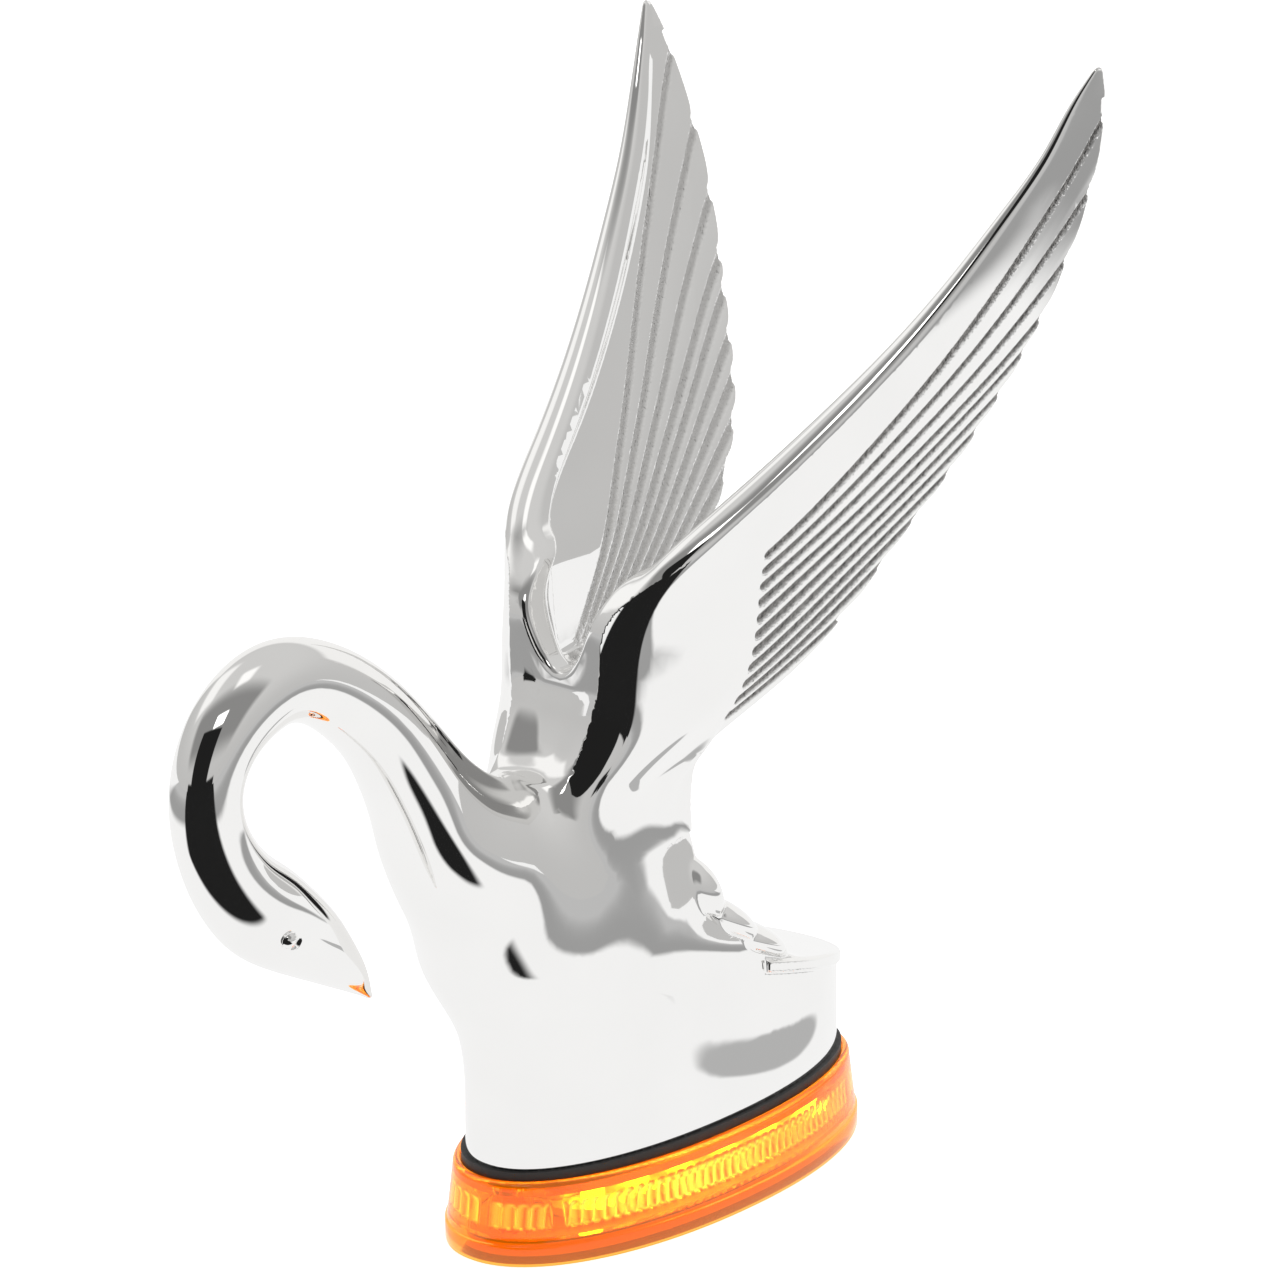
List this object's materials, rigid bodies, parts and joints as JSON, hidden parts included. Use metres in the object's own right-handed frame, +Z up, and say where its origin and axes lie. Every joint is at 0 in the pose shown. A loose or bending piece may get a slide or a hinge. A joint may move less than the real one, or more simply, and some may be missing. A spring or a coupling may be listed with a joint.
{
  "type": "hood ornament",
  "caption": "Chrome swan with raised feathered wings and a curled neck, standing on an oval amber lighted base that bolts to a hood.",
  "frame": {"origin": "middle of the mounting face, on the hood side of the pad", "axes": "+X the way the swan faces, +Y to the swan's left, +Z up out of the hood"},
  "size_m": [0.2074, 0.1218, 0.233],
  "materials": {
    "chrome_plate": "mirror chrome on a zinc die casting",
    "black_rubber": "satin",
    "amber_plastic": "clear amber, polished",
    "plate_plastic": "moulded, natural white, fine texture",
    "foam": "closed-cell foam",
    "zinc_steel": "bright zinc",
    "board_white": "white solder resist",
    "led_resin": "clear resin",
    "resistor_body": "lacquered",
    "diode_body": "moulded",
    "capacitor_can": "satin",
    "terminal_plastic": "moulded",
    "nylon": "natural nylon"
  },
  "bodies": {
    "root": {"swan_casting": "chrome_plate", "swan_gasket": "black_rubber", "amber_lens": "amber_plastic", "plate_seal": "black_rubber", "base_plate": "plate_plastic", "mounting_pad": "foam", "lead_grommet": "black_rubber", "mounting_bushes": "zinc_steel", "bush_seals": "black_rubber", "assembly_screws": "zinc_steel", "assembly_washers": "zinc_steel", "led_board": "board_white", "leds": "led_resin", "led_resistors": "resistor_body", "polarity_diode": "diode_body", "supply_capacitor": "capacitor_can", "lead_terminal": "terminal_plastic", "terminal_screws": "zinc_steel", "board_screws": "zinc_steel", "board_spacers": "nylon"}
  },
  "joints": []
}
